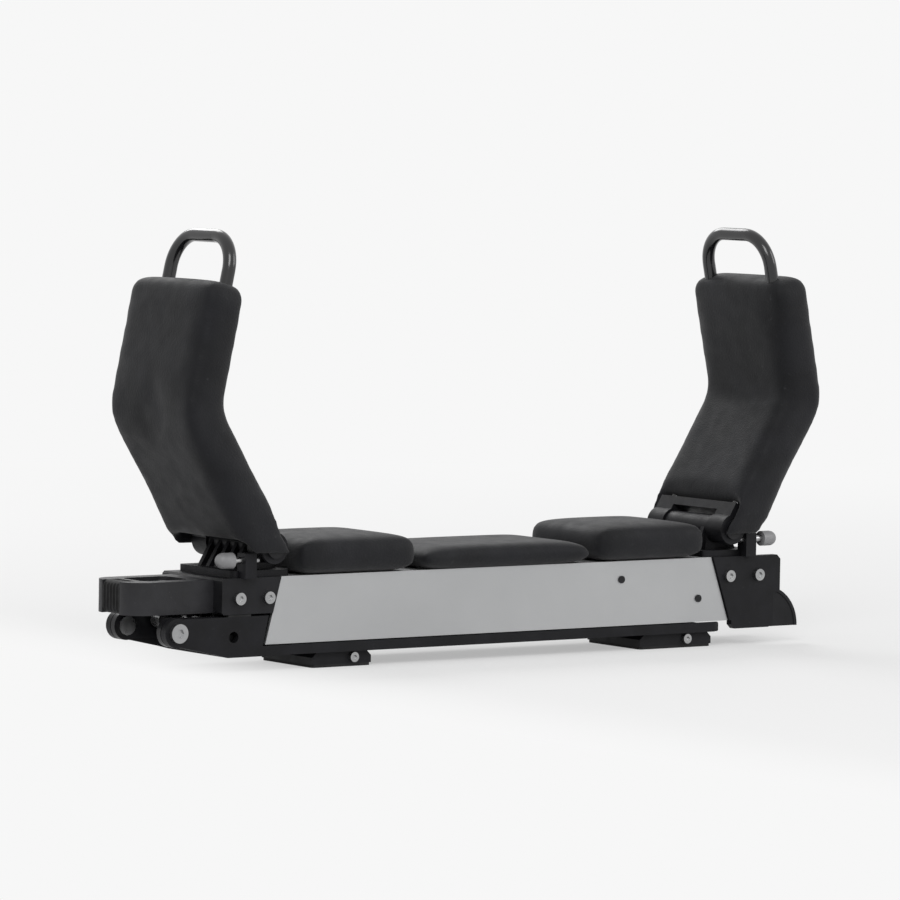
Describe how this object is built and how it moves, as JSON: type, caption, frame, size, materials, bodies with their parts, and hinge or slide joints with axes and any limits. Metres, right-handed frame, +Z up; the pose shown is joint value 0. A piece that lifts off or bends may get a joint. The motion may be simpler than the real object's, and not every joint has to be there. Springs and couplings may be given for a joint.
{
  "type": "lift-assist kayak carrier",
  "caption": "Roof bar saddle with padded folding arms on a gas-assisted parallel linkage that swings a kayak up, over and down beside the vehicle.",
  "frame": {"origin": "on the roof bar's top face, midway between the two roof bar bolts", "axes": "+X along the roof bar towards the vehicle's middle, with the handle end at -X; +Y along the vehicle; +Z up"},
  "size_m": [0.7542, 0.118, 0.3903],
  "materials": {
    "black_cast": "satin black powder coat on cast aluminium",
    "silver_panel": "satin anodised",
    "black_steel": "satin black paint",
    "gloss_rod": "gloss black",
    "bright_steel": "bright zinc",
    "black_plastic": "fine grained",
    "grey_plastic": "satin",
    "rubber": "matte",
    "foam": "matte charcoal foam with a woven skin"
  },
  "bodies": {
    "base": {"base_rail": "black_cast", "pivot_housing": "black_cast", "outer_bar_foot": "black_cast", "inner_bar_foot": "black_cast", "foot_soles": "rubber", "foot_screws": "bright_steel", "rail_screws": "bright_steel", "housing_screws": "bright_steel", "rail_end_cap": "rubber", "rest_buffers": "rubber", "striker_pins": "bright_steel", "main_pivot_pins": "bright_steel", "link_base_pin": "bright_steel"},
    "lift_arms": {"lift_arm_front": "black_steel", "lift_arm_rear": "black_steel", "main_bushes": "grey_plastic", "heel_bushes": "grey_plastic", "strut_studs": "bright_steel"},
    "level_link": {"level_link": "black_steel", "link_bushes": "grey_plastic"},
    "strut_body_front": {"strut_cylinder_front": "black_steel"},
    "strut_piston_front": {"strut_rod_front": "bright_steel"},
    "strut_body_rear": {"strut_cylinder_rear": "black_steel"},
    "strut_piston_rear": {"strut_rod_rear": "bright_steel"},
    "cradle": {"cradle_channel": "silver_panel", "outer_end_block": "black_plastic", "handle_frame": "grey_plastic", "handle_grip": "rubber", "end_block_bolts": "bright_steel", "heel_bracket": "black_cast", "heel_bolts": "bright_steel", "heel_pivot_pins": "bright_steel", "link_end_pin": "bright_steel", "panel_rivets": "black_steel", "outer_hinge_bracket": "black_cast", "inner_hinge_bracket": "black_cast", "outer_hinge_pin": "black_steel", "inner_hinge_pin": "black_steel", "outer_lower_pad": "foam", "middle_pad": "foam", "inner_lower_pad": "foam"},
    "trigger": {"release_trigger": "grey_plastic"},
    "latch": {"latch_shaft": "bright_steel", "latch_claws": "black_steel"},
    "outer_arm": {"outer_arm_hub": "black_cast", "outer_arm_loop": "gloss_rod", "outer_arm_pad": "foam"},
    "inner_arm": {"inner_arm_hub": "black_cast", "inner_arm_loop": "gloss_rod", "inner_arm_pad": "foam"},
    "outer_lock": {"outer_lock_plunger": "bright_steel", "outer_lock_knob": "grey_plastic"},
    "inner_lock": {"inner_lock_plunger": "bright_steel", "inner_lock_knob": "grey_plastic"}
  },
  "joints": [
    {"name": "lift_swing", "type": "hinge", "parent": "base", "child": "lift_arms", "pos_m": [-0.371, 0, 0.038], "axis": [0, -1, 0], "range_deg": [0, 235]},
    {"name": "link_swing", "type": "hinge", "parent": "base", "child": "level_link", "pos_m": [-0.343, 0, 0.029], "axis": [0, -1, 0], "range_deg": [0, 235]},
    {"name": "cradle_level", "type": "hinge", "parent": "lift_arms", "child": "cradle", "pos_m": [0.262, 0, 0.038], "axis": [0, -1, 0], "range_deg": [-235, 0]},
    {"name": "strut_front_swing", "type": "hinge", "parent": "lift_arms", "child": "strut_body_front", "pos_m": [0.079, 0, 0.038], "axis": [0, -1, 0], "range_deg": [-1.88, 0.01]},
    {"name": "strut_front_slide", "type": "slide", "parent": "strut_body_front", "child": "strut_piston_front", "axis": [-0.9999, 0, 0.0124], "range_m": [0, 0.05114]},
    {"name": "strut_rear_swing", "type": "hinge", "parent": "lift_arms", "child": "strut_body_rear", "pos_m": [0.079, 0, 0.038], "axis": [0, -1, 0], "range_deg": [-1.88, 0.01]},
    {"name": "strut_rear_slide", "type": "slide", "parent": "strut_body_rear", "child": "strut_piston_rear", "axis": [-0.9999, 0, 0.0124], "range_m": [0, 0.05114]},
    {"name": "trigger_pull", "type": "slide", "parent": "cradle", "child": "trigger", "axis": [-1, 0, 0], "range_m": [0, 0.005], "stiffness_N_per_m": 900, "springref_m": -0.004},
    {"name": "latch_turn", "type": "hinge", "parent": "cradle", "child": "latch", "pos_m": [-0.302, 0, 0.074], "axis": [0, 1, 0], "range_deg": [0, 22.64]},
    {"name": "outer_arm_fold", "type": "hinge", "parent": "cradle", "child": "outer_arm", "pos_m": [-0.275, 0, 0.11], "axis": [0, 1, 0], "range_deg": [0, 60]},
    {"name": "inner_arm_fold", "type": "hinge", "parent": "cradle", "child": "inner_arm", "pos_m": [0.243, 0, 0.11], "axis": [0, -1, 0], "range_deg": [0, 70]},
    {"name": "outer_lock_pull", "type": "slide", "parent": "cradle", "child": "outer_lock", "axis": [-1, 0, 0], "range_m": [0, 0.007], "stiffness_N_per_m": 700, "springref_m": -0.003},
    {"name": "inner_lock_pull", "type": "slide", "parent": "cradle", "child": "inner_lock", "axis": [1, 0, 0], "range_m": [0, 0.007], "stiffness_N_per_m": 700, "springref_m": -0.003}
  ],
  "couplings": [
    {"joint": "link_swing", "follows": "lift_swing", "ratio": 1},
    {"joint": "cradle_level", "follows": "lift_swing", "ratio": -1},
    {"joint": "latch_turn", "follows": "trigger_pull", "rad_per_m": 78.958},
    {"joint": "strut_front_swing", "follows": "lift_swing", "ratio": -0.0079386},
    {"joint": "strut_front_slide", "follows": "lift_swing", "m_per_rad": 0.012465},
    {"joint": "strut_rear_swing", "follows": "lift_swing", "ratio": -0.0079386},
    {"joint": "strut_rear_slide", "follows": "lift_swing", "m_per_rad": 0.012465}
  ]
}
